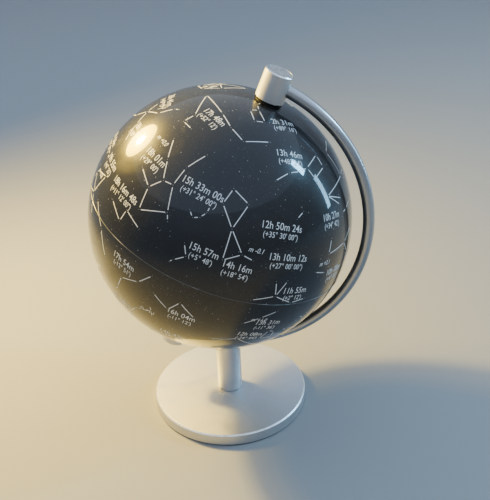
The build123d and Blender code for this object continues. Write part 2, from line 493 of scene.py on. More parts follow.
meridian_arm = linked_piece("meridian_arm_bent", rod_mesh("meridian_arm_bent"))
# Painted shade: the rod's colour is set darker than the base, post and knobs, though it is the same blasted,
# anodised aluminium.
rod_finish_painted_darker = blasted_metal(
    "blasted_rod_painted_dark", (0.58, 0.585, 0.60), (0.50, 0.505, 0.52), 0.31, dent_depth=0.000007, dents=3200.0
)
meridian_arm.data.materials.append(rod_finish_painted_darker)
flat_form = bmesh.new()
bmesh.ops.create_cube(flat_form, size=1.0)
flat_size = Matrix.Diagonal((flat_length, flat_length, flat_depth, 1))
flat_place = Matrix.Translation((0, 0, flat_height + flat_depth / 2)) @ flat_size
cut_away(meridian_arm, linked_piece("cutter", mesh_from(flat_form, "cutter", flat_place)))
cut_away(meridian_arm, cylinder_cutter(hole_radius, hole_low, hole_high, Matrix.Identity(4)))
show_sharp(meridian_arm)
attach(meridian_arm, "stand")
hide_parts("meridian_arm")

# ---- arm screw ----
# A zinc-plated pan-head screw through the arm's flat into the post, hidden under the ball.
finished("arm_screw", cut_metal("zinc_head", (0.68, 0.68, 0.66), 0.26, upright, 3600.0))

# ---- knobs ----
# Two lengths of 12 mm bar on the globe's axis, blasted, with both end edges cut bright. Each has a
# bore for its pivot, a side hole for the arm, a tapped hole at the back and a recess for its cap.
knob_face = 58.3
knob_chamfer = 0.45
north_top = 70.3
south_top = 72.3
north_bore = 2.0
south_bore = 3.0
recess_radius = 5.2
recess_depth = 1.05
pocket_radius = 4.7
pocket_depth = 1.0
grub_radius = 1.5
grub_height = 64.5
countersink_low = 5.68
countersink_high = 6.44
countersink_narrowing = 0.06
countersink_widening = 0.7
half_turn = Matrix.Rotation(math.pi, 4, "X")
polar_ends = {"north": polar, "south": polar @ half_turn}


def knob_outline(top, bore, pocket):
    """A knob's half section, from its face up the outside and back down the bore."""
    corners = [
        (bar_radius - knob_chamfer, knob_face, 0.05, bright_finish),
        (bar_radius, knob_face + knob_chamfer, 0.06),
        (bar_radius, top - knob_chamfer, 0.06, bright_finish),
        (bar_radius - knob_chamfer, top, 0.05, bright_finish),
        (recess_radius, top, 0.04),
        (recess_radius, top - recess_depth),
        (bore, top - recess_depth),
    ]
    if pocket:
        corners += [(bore, knob_face + pocket_depth), (pocket_radius, knob_face + pocket_depth)]
        return corners + [(pocket_radius, knob_face)]
    return corners + [(bore, knob_face)]


knob_finish = blasted_metal(
    "blasted_knob", (0.78, 0.78, 0.79), (0.69, 0.695, 0.705), 0.52, dent_depth=0.000008, dents=3000.0
)
bright_knob_edge = cut_metal("bright_knob_edge", (0.94, 0.94, 0.94), 0.24, tuple(globe_axis))
knob_sizes = {"north": (north_top, north_bore, False), "south": (south_top, south_bore, True)}
countersink = [
    (0, countersink_low), (grub_radius - countersink_narrowing, countersink_low),
    (grub_radius + countersink_widening, countersink_high), (0, countersink_high),
]
for end, (top, bore, pocket) in knob_sizes.items():
    knob = turned(f"{end}_knob_turned", knob_outline(top, bore, pocket), polar_ends[end])
    knob.data.materials.append(knob_finish)
    knob.data.materials.append(bright_knob_edge)
    cut_away(knob, linked_piece("cutter", rod_mesh("cutter")))
    hole_middle = polar_ends[end] @ Vector((0, 0, grub_height))
    hole_place = Matrix.Translation(hole_middle) @ Matrix.Rotation(-math.pi / 2, 4, "X")
    cut_away(knob, cylinder_cutter(grub_radius, 0, bar_radius + 1, hole_place))
    cut_away(knob, turned("cutter", countersink, hole_place, sides=64))
    show_sharp(knob)
    keep_flats_flat(knob)
    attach(knob, "stand")
    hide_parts(f"{end}_knob")

# ---- knob caps ----
# Thin discs pressed into the knobs' outer ends. Their faces are coarser than the knobs, as stamped
# from rolled sheet and etched, so that they look faintly mottled.
cap_radius = 5.19
cap_thickness = 1.0

cap_finish, cap_tree, cap_shader = new_finish("etched_cap", Metallic=0.9)
cap_marks = use_group(cap_tree, blast, Dents_per_metre=900.0)
cap_mottle = placed(
    cap_tree, "ShaderNodeTexNoise", {"Scale": 620.0, "Detail": 4.0, "Distortion": 1.2},
    {"Vector": coordinates(cap_tree)},
)
cap_patch = ranged(cap_tree, cap_mottle.outputs["Fac"], 0.0, 1.0, 0.42, 0.66)
cap_tone = mixed_colour(cap_tree, cap_patch, (0.46, 0.475, 0.50), (0.78, 0.79, 0.81))
feed(cap_tree, cap_shader, Base_Color=cap_tone, Roughness=ranged(cap_tree, cap_patch, 0.50, 0.30))
bumped(cap_tree, cap_shader, cap_marks["Dents"], 0.00003)

for end, (top, *_) in knob_sizes.items():
    cap_low = top - recess_depth
    cap_high = cap_low + cap_thickness
    cap_outline = [(0, cap_low), (cap_radius, cap_low), (cap_radius, cap_high, 0.15), (0, cap_high)]
    cap = turned(f"{end}_cap_stamped", cap_outline, polar_ends[end])
    cap.data.materials.append(cap_finish)
    keep_flats_flat(cap)
    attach(cap, "stand")
    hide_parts(f"{end}_knob_cap")

# ---- grub screws ----
# Blackened cup-point screws in the backs of the knobs. They lock the pivots.
black_oxide = turned_finish(
    "black_oxide", (0.0, 1.0, 0.0), 2500.0, 0.00001,
    colours=((0.03, 0.03, 0.032), (0.13, 0.12, 0.11)), roughness=(0.48, 0.34), metallic=0.7,
)
finished("north_grub_screw", black_oxide)
finished("south_grub_screw", black_oxide)

# ---- pivots and spring washer ----
# A ground steel pin in the north knob, a slotted pivot screw in the south knob, and a dished spring
# washer that takes up the end play.
ground_steel = cut_metal("ground_steel", (0.62, 0.62, 0.63), 0.20, tuple(globe_axis), 7000.0, 0.000003)
spring_steel = cut_metal("spring_steel", (0.50, 0.51, 0.55), 0.28, tuple(globe_axis), 3000.0, 0.000003)
finished("north_pivot_pin", ground_steel)
finished("south_pivot_screw", ground_steel)
finished("south_spring_washer", spring_steel)

# ---- bushes and thrust washers ----
# Black nylon, moulded: flanged bushes pressed into the poles and flat slip washers against the
# knobs. Together they are the dark line between each knob and the ball.


def moulded_plastic(name, colour, pale, roughness, grain_depth):
    """Matt moulded plastic: a fine spark-eroded grain and paler scuffs."""
    material, tree, shader = new_finish(name, Specular_IOR_Level=0.4)
    marks = use_group(tree, blast, Dents_per_metre=2200.0)
    scuffed = mixed_colour(tree, marks["Handling"], colour, pale)
    uneven = ranged(tree, marks["Drift"], roughness - 0.08, roughness + 0.08)
    feed(tree, shader, Base_Color=scuffed, Roughness=uneven)
    bumped(tree, shader, marks["Dents"], grain_depth)
    return material


black_nylon = moulded_plastic("black_nylon", (0.020, 0.020, 0.021), (0.045, 0.045, 0.046), 0.46, 0.000015)
for node in ("north_bush", "south_bush", "north_thrust_washer", "south_thrust_washer"):
    finished(node, black_nylon)

# ---- joining ring ----
# A grey moulded band inside the ball that lines up the two shells and holds the glue.
grey_plastic = moulded_plastic("grey_plastic", (0.33, 0.33, 0.34), (0.42, 0.42, 0.42), 0.55, 0.00002)
finished("equator_joining_ring", grey_plastic)

# ---- globe shells ----
# Two moulded half balls with a 2 mm wall, glued at the equator, then sprayed black and clear
# lacquered. The joint still shows as a hairline. Each pole has a boss inside and a flat seat outside
# for the bush's flange.
globe_radius = 57.5
inner_radius = 55.5
seat_radius = 5.7
seat_height = 57.0
bore_radius = 4.0
boss_radius = 8.0
boss_height = 49.0
seam_bevel = 0.13
globe_sides = 288
outer_steps = 110
inner_steps = 40


def arc_points(radius, start, end, steps):
    """Points on a circle about the globe's centre, between two angles above the equator."""
    angles = [start + (end - start) * step / steps for step in range(steps + 1)]
    return [(radius * math.cos(angle), radius * math.sin(angle)) for angle in angles]


seat_edge = math.acos(seat_radius / globe_radius)
shell_outline = [
    (globe_radius - seam_bevel, 0),
    *arc_points(globe_radius, seam_bevel / globe_radius, seat_edge, outer_steps),
    (seat_radius, seat_height),
    (bore_radius, seat_height),
    (bore_radius, boss_height),
    (boss_radius, boss_height),
    *arc_points(inner_radius, math.acos(boss_radius / inner_radius), 0, inner_steps),
]

# Lacquer: black paint under a clear coat. The coat is very slightly wavy, with wiped areas that
# scatter a little more light, and dust on it.
lacquer, lacquer_tree, lacquer_shader = new_finish(
    "black_lacquer", IOR=1.5, Specular_IOR_Level=0.22, Coat_Weight=1.0, Coat_Roughness=0.05, Coat_IOR=1.45
)
lacquer_dust = use_group(lacquer_tree, dust, Cells_per_metre=420.0, Speck_size=0.15)["Specks"]
fine_dust = use_group(lacquer_tree, dust, Cells_per_metre=1700.0, Speck_size=0.31)["Specks"]
lacquer_marks = use_group(lacquer_tree, blast, Dents_per_metre=1400.0)
paint = mixed_colour(lacquer_tree, lacquer_marks["Drift"], (0.027, 0.027, 0.029), (0.042, 0.042, 0.045))
hazed_paint = mixed_colour(lacquer_tree, fine_dust, paint, (0.27, 0.26, 0.23))
dusty_paint = mixed_colour(lacquer_tree, lacquer_dust, hazed_paint, (0.45, 0.43, 0.40))
wiped = ranged(lacquer_tree, lacquer_marks["Handling"], 0.30, 0.42)
feed(lacquer_tree, lacquer_shader, Base_Color=dusty_paint, Roughness=wiped)
orange_peel = placed(
    lacquer_tree, "ShaderNodeTexNoise", {"Scale": 320.0, "Detail": 2.0},
    {"Vector": coordinates(lacquer_tree)},
)
bumped(lacquer_tree, lacquer_shader, orange_peel.outputs["Fac"], 0.000012)

for end, place in polar_ends.items():
    shell = turned(f"globe_{end}_shell", shell_outline, place, sides=globe_sides)
    shell.data.materials.append(lacquer)
    show_sharp(shell)
    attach(shell, "globe")
    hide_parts(f"globe_{end}_half")

# A fine raised bead along the glued joint, which shows as a hairline. Its colour is painted paler than the
# black lacquer, in patches: a painted highlight on the joint.
seam_painted_highlight, seam_tree, seam_shader = new_finish("seam_painted_highlight", Coat_Weight=0.6, Coat_Roughness=0.12)
seam_marks = use_group(seam_tree, blast, Dents_per_metre=900.0)
# Painted highlight: patches of the bead are painted pale, standing in for light caught along the joint.
seam_highlight_tone = mixed_colour(seam_tree, seam_marks["Handling"], (0.10, 0.098, 0.095), (0.30, 0.29, 0.28))
seam_roughness = ranged(seam_tree, seam_marks["Drift"], 0.30, 0.50)
feed(seam_tree, seam_shader, Base_Color=seam_highlight_tone, Roughness=seam_roughness)
bead_radius = 0.18
bead_sides = 8
bead_outline = [(globe_radius + out, up) for out, up in circle(bead_sides, bead_radius)]
seam_bead = turned("seam_bead", bead_outline, polar, sides=globe_sides)
seam_bead.data.materials.append(seam_painted_highlight)
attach(seam_bead, "globe")

# ---- printed figures ----
# Star figures pad-printed in white: thin strokes that stop short of each star, a dot for each star,
# and a caption in two lines. The captions are the figure's first star's place on the sky, in hours
# and in degrees. Places are right ascension in hours and declination in degrees, one chain of stars
# at a time: first the caption's place, then the chains.
figures = [
    ((12.75, 76.1), [(2.53, 89.26), (17.54, 86.59), (16.77, 82.04), (15.85, 78.9), (14.7, 73.2),
     (15.55, 71.4), (16.6, 76.2), (15.85, 78.9)]),
    ((17.71, 62.6), [(17.8, 52.2), (18.42, 52.1), (18.45, 57.2), (20.05, 65.3), (17.65, 65.9),
     (16.5, 62.7), (15.52, 59.6), (14.15, 63.9)]),
    ((13.02, 60.8), [(13.78, 48.4), (13.15, 52.8), (12.6, 53.7), (12.13, 55.4), (11.82, 51.0),
     (10.95, 54.8), (11.08, 60.2), (12.13, 55.4)], [(11.82, 51.0), (11.3, 43.5), (9.6, 47.6),
     (9.0, 48.0)], [(11.3, 43.5), (10.37, 40.5)], [(11.3, 43.5), (10.58, 38.5)], [(9.6, 47.6),
     (9.85, 59.0), (8.5, 60.7)]),
    ((14.29, 13.9), [(14.28, 18.9), (14.76, 26.8), (15.25, 34.2), (15.12, 40.7), (14.51, 37.1),
     (14.76, 26.8), (14.72, 14.8), (14.28, 18.9), (13.93, 17.6)]),
    ((15.98, 36.1), [(15.55, 31.4), (15.56, 28.8), (15.68, 26.2), (15.86, 24.9), (16.02, 27.0)]),
    ((17.91, 35.4), [(18.02, 29.0), (17.42, 25.3), (17.15, 30.6), (16.81, 31.4), (16.53, 21.9),
     (17.3, 16.3), (17.42, 25.3)], [(16.53, 21.9), (16.41, 19.0)], [(16.81, 31.4), (16.79, 39.2),
     (16.48, 47.6)], [(17.15, 30.6), (17.5, 37.6), (17.96, 45.0)]),
    ((19.45, 36.0), [(18.62, 38.78), (18.74, 39.67)], [(18.62, 38.78), (18.75, 37.61), (18.83, 33.36),
     (18.98, 32.69), (18.91, 36.9), (18.75, 37.61)]),
    ((20.55, 50.5), [(20.69, 45.28), (20.37, 40.26), (19.94, 35.08), (19.51, 27.96)], [(21.22, 30.23),
     (20.77, 33.97), (20.37, 40.26), (19.75, 45.13), (19.5, 51.73), (19.29, 53.37)]),
    ((19.28, 19.6), [(19.92, 6.41), (19.85, 8.87), (19.77, 10.61), (19.09, 13.86), (18.99, 15.07)],
     [(19.09, 13.86), (19.42, 3.11), (19.1, -4.88)], [(19.85, 8.87), (19.42, 3.11)], [(19.42, 3.11),
     (19.87, 1.01), (20.19, -0.82)]),
    ((18.07, 17.9), [(18.28, 11.2), (17.7, 7.1), (17.64, 12.8), (17.03, 10.2)], [(16.23, -3.9),
     (16.57, -10.6), (17.14, -14.7), (17.28, -21.8), (17.37, -25.0)]),
    ((15.24, 15.6), [(15.95, 5.8), (15.87, 7.2), (15.6, 10.7), (15.77, 15.2)]),
    ((17.17, -6.4), [(17.9, -12.85), (18.3, -2.9), (18.94, 4.2)]),
    ((17.3, -31.5), [(16.49, -26.43), (16.35, -25.59), (16.01, -22.62), (16.09, -19.81)],
     [(16.01, -22.62), (15.98, -26.11)], [(16.49, -26.43), (16.6, -28.22), (16.84, -34.29),
     (16.86, -38.05), (16.91, -42.36), (17.2, -43.24), (17.62, -43.0), (17.79, -40.13), (17.71, -39.03),
     (17.56, -37.1)]),
    ((15.17, -16.1), [(16.07, -11.2), (15.57, -16.1), (15.31, -9.5), (14.8, -15.1)]),
    ((12.42, 6.9), [(11.93, 2.2), (12.41, 0.9), (13.0, 4.3), (13.12, 10.8)], [(12.78, 11.4), (13.0, 4.3),
     (13.63, 1.5)]),
    ((12.76, -10.2), [(13.53, -11.6), (13.11, -7.3), (12.69, -3.3)]),
    ((12.94, 20.8), [(13.17, 27.0)]),
    ((13.32, 32.2), [(12.84, 35.5), (12.59, 38.6)]),
    ((10.9, 12.0), [(10.14, 9.0), (10.14, 16.8), (10.45, 22.0), (11.38, 20.5), (11.3, 26.8)],
     [(11.86, 14.0), (11.42, 12.7)], [(10.45, 22.0), (9.88, 26.0), (9.76, 23.8)]),
    ((11.25, 35.7), [(10.46, 34.7), (10.12, 35.2), (9.57, 36.4)]),
    ((13.05, -18.8), [(12.14, -24.73), (12.17, -22.62), (12.26, -17.54), (12.5, -16.52), (12.57, -23.4),
     (12.17, -22.62)]),
    ((11.35, -26.5), [(11.0, -18.3), (11.32, -14.78), (11.41, -17.68), (11.19, -22.83), (11.0, -18.3)],
     [(11.32, -14.78), (11.41, -10.86), (11.61, -9.8)], [(11.41, -17.68), (11.75, -18.35),
     (11.93, -17.15)]),
    ((9.8, -5.0), [(9.46, -8.66), (9.24, 2.31), (8.92, 5.95), (8.78, 6.42), (8.65, 5.7), (8.72, 3.4)],
     [(9.46, -8.66), (9.86, -14.85), (10.18, -12.35), (10.44, -16.84), (10.83, -16.19), (11.55, -31.86),
     (11.88, -33.91), (13.32, -23.17), (14.11, -26.68)]),
    ((12.75, -43.0), [(14.66, -60.83), (14.06, -60.37), (13.66, -53.47), (13.93, -47.29),
     (14.59, -42.16)], [(13.93, -47.29), (13.83, -42.0), (14.11, -36.37)], [(13.83, -42.0),
     (13.34, -36.71)], [(13.66, -53.47), (12.69, -48.96), (12.14, -50.72), (11.6, -63.02)]),
    ((12.45, -53.6), [(12.44, -63.1), (12.52, -57.11)], [(12.8, -59.69), (12.25, -58.75)]),
    ((15.2, -34.6), [(14.7, -47.39), (14.98, -43.13), (15.36, -40.65), (15.59, -41.17), (16.0, -38.4)],
     [(15.59, -41.17), (15.38, -44.69), (15.21, -52.1), (14.7, -47.39)]),
    ((16.0, -73.0), [(16.81, -69.03), (15.92, -63.43), (15.32, -68.68), (16.81, -69.03)]),
    ((17.9, -63.5), [(18.11, -50.09), (17.53, -49.88), (17.42, -55.53), (17.42, -56.38), (17.52, -60.68)],
     [(17.42, -55.53), (16.98, -55.99), (16.99, -53.16), (17.53, -49.88)]),
    ((19.4, -33.0), [(18.1, -30.42), (18.35, -29.83), (18.4, -34.38), (18.29, -36.76)], [(18.35, -29.83),
     (18.47, -25.42), (18.76, -26.99), (18.92, -26.3), (19.12, -27.67), (19.04, -29.88), (18.4, -34.38)],
     [(18.47, -25.42), (18.23, -21.06)], [(19.04, -29.88), (18.76, -26.99)], [(18.92, -26.3),
     (19.08, -21.74), (19.16, -21.02)]),
    ((19.3, -46.0), [(18.98, -37.11), (19.11, -37.06), (19.16, -37.9), (19.17, -39.34), (19.14, -40.5),
     (19.05, -42.1)]),
    ((21.1, -29.5), [(20.3, -12.54), (20.35, -14.78), (20.77, -25.27), (20.86, -26.92), (21.44, -22.41),
     (21.62, -19.47), (21.78, -16.13), (21.67, -16.66), (21.37, -16.83), (21.1, -17.23),
     (20.35, -14.78)]),
    ((21.9, 4.2), [(20.79, -9.5), (21.53, -5.57), (22.1, -0.32), (22.36, -1.39), (22.48, -0.02),
     (22.59, -0.12), (22.88, -7.58), (23.24, -6.05), (23.28, -9.6), (22.91, -15.82)], [(22.1, -0.32),
     (22.28, -7.78)]),
    ((22.3, -25.0), [(22.96, -29.62), (22.68, -27.04), (21.75, -33.03), (22.53, -32.35), (22.88, -32.88),
     (22.93, -32.54), (22.96, -29.62)]),
    ((22.4, -54.5), [(21.9, -37.36), (22.14, -46.96), (22.71, -46.88), (22.81, -51.32)], [(21.9, -37.36),
     (22.49, -43.5), (22.71, -46.88)]),
    ((23.4, 21.5), [(23.08, 15.21), (23.06, 28.08), (0.14, 29.09), (0.22, 15.18), (23.08, 15.21)],
     [(23.08, 15.21), (22.69, 10.83), (22.17, 6.2), (21.74, 9.88)], [(23.06, 28.08), (22.72, 30.22)],
     [(22.69, 30.22), (22.12, 25.35)]),
    ((0.2, 36.5), [(0.14, 29.09), (0.66, 30.86), (1.16, 35.62), (2.06, 42.33)], [(1.16, 35.62),
     (0.95, 38.5), (0.83, 41.08)]),
    ((1.1, 52.4), [(1.91, 63.67), (1.43, 60.24), (0.95, 60.72), (0.68, 56.54), (0.15, 59.15)]),
    ((22.3, 66.5), [(21.31, 62.59), (21.48, 70.56), (23.66, 77.63), (22.83, 66.2), (22.49, 58.42),
     (22.18, 58.2), (21.31, 62.59)], [(21.48, 70.56), (22.83, 66.2)]),
    ((4.4, 46.5), [(2.84, 55.9), (3.08, 53.51), (3.41, 49.86), (3.72, 47.79), (3.96, 40.01),
     (3.98, 35.79), (3.9, 31.88)], [(3.41, 49.86), (3.16, 44.86), (3.14, 40.96), (3.09, 38.84)]),
    ((2.5, 31.4), [(1.88, 29.58), (2.16, 34.99), (2.29, 33.85), (1.88, 29.58)]),
    ((2.3, 17.8), [(1.89, 19.29), (1.91, 20.81), (2.12, 23.46), (2.83, 27.26)]),
    ((0.4, 11.2), [(1.32, 27.26), (1.52, 15.35), (1.76, 9.16), (2.03, 2.76), (1.05, 7.89), (0.81, 7.59),
     (23.99, 6.86), (23.67, 5.63), (23.47, 6.38), (23.29, 3.28), (23.45, 1.26), (23.7, 1.78),
     (23.67, 5.63)]),
    ((1.2, -3.5), [(3.04, 4.09), (2.72, 3.24), (2.66, 0.33), (2.32, -2.98), (1.86, -10.34), (1.4, -8.18),
     (1.14, -10.18), (0.32, -8.82), (0.73, -17.99), (1.73, -15.94), (1.86, -10.34)], [(3.04, 4.09),
     (2.75, 10.11), (2.47, 8.46), (2.72, 3.24)]),
    ((4.6, 23.6), [(5.63, 21.14), (4.6, 16.51), (4.48, 15.87), (4.33, 15.63), (4.38, 17.54),
     (4.48, 19.18), (5.44, 28.61)], [(4.33, 15.63), (4.01, 12.49), (3.41, 9.03)]),
    ((5.5, 38.8), [(5.28, 46.0), (5.99, 44.95), (5.99, 37.21), (5.44, 28.61), (4.95, 33.17),
     (5.11, 41.23), (5.28, 46.0)], [(5.28, 46.0), (5.03, 43.82)]),
    ((6.7, 31.4), [(7.58, 31.89), (7.19, 30.25), (6.73, 25.13), (6.38, 22.51), (6.25, 22.51)],
     [(7.76, 28.03), (7.34, 21.98), (7.07, 20.57), (6.63, 16.4)], [(7.34, 21.98), (7.3, 16.54),
     (6.75, 12.9)], [(7.58, 31.89), (7.76, 28.03)]),
    ((8.6, 15.4), [(8.97, 11.86), (8.74, 18.15), (8.72, 21.47), (8.78, 28.76)], [(8.74, 18.15),
     (8.28, 9.19)]),
    ((7.6, 1.2), [(7.66, 5.22), (7.45, 8.29)]),
    ((7.4, 44.0), [(9.35, 34.39), (9.31, 36.8), (8.38, 43.19), (7.45, 49.21), (6.95, 58.42),
     (6.33, 59.01)]),
    ((6.9, -35.0), [(6.75, -16.72), (6.38, -17.96)], [(6.75, -16.72), (7.05, -23.83), (7.14, -26.39),
     (6.98, -28.97), (6.34, -30.06)], [(7.14, -26.39), (7.4, -29.3)]),
    ((5.0, 0.8), [(5.59, 9.93), (5.92, 7.41), (5.68, -1.94), (5.8, -9.67), (5.24, -8.2), (5.53, -0.3),
     (5.42, 6.35), (5.59, 9.93)], [(5.53, -0.3), (5.6, -1.2), (5.68, -1.94)], [(5.42, 6.35),
     (4.83, 6.96)]),
    ((5.5, -27.5), [(5.22, -16.21), (5.55, -17.82), (5.78, -14.82), (5.94, -14.17)], [(5.22, -16.21),
     (5.09, -22.37), (5.47, -20.76), (5.55, -17.82)], [(5.47, -20.76), (5.74, -22.45), (5.86, -20.88)]),
    ((3.6, -16.0), [(5.13, -5.09), (4.61, -3.35), (3.97, -13.51), (3.72, -9.76), (3.55, -9.46),
     (2.94, -8.9), (2.75, -18.57), (3.33, -21.76), (3.78, -23.23), (4.56, -29.8), (4.4, -34.0),
     (2.97, -40.3), (2.27, -51.51), (1.63, -57.24)]),
    ((5.7, -40.5), [(5.52, -35.47), (5.66, -34.07), (5.85, -35.77)]),
    ((7.6, -58.5), [(6.4, -52.7), (7.95, -52.98), (8.38, -59.51), (9.28, -59.28), (10.72, -64.39),
     (9.79, -65.07), (9.22, -69.72), (6.4, -52.7)]),
    ((9.4, -49.0), [(8.16, -47.34), (8.75, -54.71), (9.37, -55.01), (9.95, -54.57), (10.78, -49.42),
     (9.13, -43.43), (8.16, -47.34)]),
    ((7.5, -45.5), [(8.06, -40.0), (7.29, -37.1), (7.49, -43.3), (6.63, -43.2), (6.83, -50.61)],
     [(8.06, -40.0), (7.82, -24.86), (8.13, -24.3)]),
    ((0.8, -51.5), [(0.16, -45.75), (0.44, -42.31), (1.1, -46.72), (1.47, -43.32), (1.52, -49.07),
     (1.1, -46.72), (0.16, -45.75)]),
    ((23.4, -64.5), [(22.31, -60.26), (23.29, -58.24), (0.33, -64.87), (0.53, -62.96)]),
    ((20.0, -60.0), [(20.43, -56.74), (20.75, -66.2), (20.15, -66.18)], [(20.75, -66.2), (21.44, -65.37),
     (20.43, -56.74)]),
    ((2.4, -69.5), [(1.98, -61.57), (3.79, -74.24), (0.43, -77.25), (1.98, -61.57)]),
    ((21.25, -43.5), [(20.63, -47.29), (20.91, -58.45)]),
    ((19.5, -79.5), [(22.77, -81.38), (14.45, -83.67), (21.69, -77.39), (22.77, -81.38)]),
    ((21.05, 10.8), [(20.55, 11.3), (20.63, 14.6), (20.66, 15.91), (20.78, 16.12), (20.72, 15.07),
     (20.63, 14.6)]),
    ((20.35, 22.4), [(19.98, 19.49), (19.79, 18.53), (19.67, 18.01)], [(19.79, 18.53), (19.68, 17.48)]),
    ((7.2, -5.6), [(6.48, -7.03), (7.2, -0.49), (8.14, -2.98)], [(7.2, -0.49), (6.4, 4.59)],
     [(6.48, -7.03), (6.25, -6.27)]),
    ((4.6, 74.5), [(5.06, 60.44), (4.9, 66.34), (3.84, 71.33)]),
    ((12.1, -72.5), [(12.62, -69.14), (12.77, -68.11)]),
    ((4.9, -66.5), [(4.27, -51.49), (4.57, -55.04), (5.56, -62.49), (5.75, -65.74)]),
]
precise_captions = {(15.98, 36.1), (13.32, 32.2), (12.94, 20.8), (18.07, 17.9)}
bright_stars = [
    (14.26, 19.18, -0.1), (11.82, 14.57, 2.1), (13.42, -11.16, 1.0), (18.62, 38.78, 0.0),
    (20.69, 45.28, 1.3), (19.85, 8.87, 0.8), (16.49, -26.43, 1.1), (10.14, 11.97, 1.4),
    (6.75, -16.72, -1.5), (6.40, -52.70, -0.7), (5.24, -8.20, 0.1), (5.92, 7.41, 0.5),
    (4.60, 16.51, 0.9), (5.28, 46.0, 0.1), (7.66, 5.22, 0.4), (7.76, 28.03, 1.1),
    (22.96, -29.62, 1.2), (1.63, -57.24, 0.5), (14.66, -60.83, -0.3), (12.44, -63.10, 0.8),
]
print_turn = math.radians(138.0)
ink_rise = 0.04
ink_sink = 0.03
stroke_width = 0.40
stroke_gap = 0.85
stroke_step = 1.5
stroke_tip_width = 0.35
stroke_shoulder_width = 0.76
stroke_shoulder_reach = 0.35
figure_dot_radius = 0.1
faint_stars = 620
faint_star_seed = 7
faint_star_radii = (0.07, 0.14)
faint_star_sides = 7
nearest_the_poles = 0.99


def sky(hours, degrees):
    """The direction of a place on the sky, in the globe's own frame."""
    turn = print_turn - math.radians(hours * 15)
    lift = math.radians(degrees)
    return Vector((math.cos(lift) * math.cos(turn), math.cos(lift) * math.sin(turn), math.sin(lift)))


def under_flange(place):
    """Whether a direction points at one of the seats for the bushes' flanges, which carry no print."""
    return math.hypot(place.x, place.y) * globe_radius < seat_radius


def add_stroke(form, start, end, width, gap):
    """A thin closed ribbon of ink along the great circle between two directions, with round ends."""
    reach = globe_radius * start.angle(end)
    side = start.cross(end).normalized()
    ahead = side.cross(start).normalized()
    half = width / 2
    gap = min(gap, reach / 4)
    first = gap
    last = reach - gap

    def spine_at(distance):
        """The direction of the ribbon's middle, this far along it."""
        bend = distance / globe_radius
        return start * math.cos(bend) + ahead * math.sin(bend)

    while under_flange(spine_at(first)):
        first += half / 2
    if first > last:
        return
    runs = max(2, round((last - first - 2 * half) / stroke_step))
    inside = [first + half + (last - first - 2 * half) * run / runs for run in range(runs + 1)]
    shoulder = half * stroke_shoulder_reach
    rows = [(first, stroke_tip_width), (first + shoulder, stroke_shoulder_width)]
    rows += [(distance, 1.0) for distance in inside]
    rows += [(last - shoulder, stroke_shoulder_width), (last, stroke_tip_width)]
    made = []
    for distance, fullness in rows:
        spine = spine_at(distance)
        lean = side * (half * fullness / globe_radius)
        top = globe_radius + ink_rise
        low = globe_radius - ink_sink
        edges = ((spine + lean) * top, (spine - lean) * top, (spine - lean) * low, (spine + lean) * low)
        made.append([form.verts.new(point) for point in edges])
    closed_skin(form, made)


def add_dot(form, centre, radius, sides=10):
    """A closed round dot of ink."""
    across = centre.orthogonal().normalized()
    up = centre.cross(across)
    rings = []
    for level in (globe_radius + ink_rise, globe_radius - ink_sink):
        spokes = [across * x + up * y for x, y in circle(sides, radius / globe_radius)]
        rings.append([form.verts.new((centre + spoke) * level) for spoke in spokes])
    closed_skin(form, rings)


# Printing ink: white, a little uneven in cover, with a soft sheen.
white_ink, ink_tree, ink_shader = new_finish(
    "white_ink", Roughness=0.42, Coat_Weight=0.25, Coat_Roughness=0.15
)
ink_marks = use_group(ink_tree, blast, Dents_per_metre=2000.0)
ink_tone = mixed_colour(ink_tree, ink_marks["Drift"], (0.64, 0.64, 0.635), (0.86, 0.86, 0.855))
feed(ink_tree, ink_shader, Base_Color=ink_tone)
bumped(ink_tree, ink_shader, ink_marks["Dents"], 0.000008)


def printed(name, form):
    """Turns finished ink into a piece that rides on the ball."""
    piece = linked_piece(name, mesh_from(form, name, polar))
    piece.data.materials.append(white_ink)
    show_sharp(piece, angle=50)
    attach(piece, "globe")


stroke_form = bmesh.new()
dot_form = bmesh.new()
drawn_strokes = set()
drawn_dots = set()
for caption_place, *chains in figures:
    for chain in chains:
        for pair in zip(chain, chain[1:]):
            if frozenset(pair) not in drawn_strokes:
                drawn_strokes.add(frozenset(pair))
                add_stroke(stroke_form, sky(*pair[0]), sky(*pair[1]), stroke_width, stroke_gap)
        for star in chain:
            if star not in drawn_dots and not under_flange(sky(*star)):
                drawn_dots.add(star)
                add_dot(dot_form, sky(*star), figure_dot_radius)
printed("figure_strokes", stroke_form)

# Faint stars between the figures, scattered evenly over the sphere.
star_dice = random.Random(faint_star_seed)
for _ in range(faint_stars):
    height = star_dice.uniform(-nearest_the_poles, nearest_the_poles)
    turn = star_dice.uniform(0, 2 * math.pi)
    flat = math.sqrt(1 - height * height)
    centre = Vector((flat * math.cos(turn), flat * math.sin(turn), height))
    add_dot(dot_form, centre, star_dice.uniform(*faint_star_radii), faint_star_sides)
printed("star_dots", dot_form)

# ---- printed captions ----
# The same white ink, in plain upright figures for the star figures and small slanted ones for the
# brightness of single stars.
capital_share = 0.682
letter_narrowing = 0.86
first_line_capitals = 2.7
second_line_capitals = 2.1
line_drop = 3.5
star_note_capitals = 1.9
star_note_slant = 0.28
star_note_lead = 0.30
star_note_lift = 2.6
caption_rise = 0.05
type_weight = 0.018


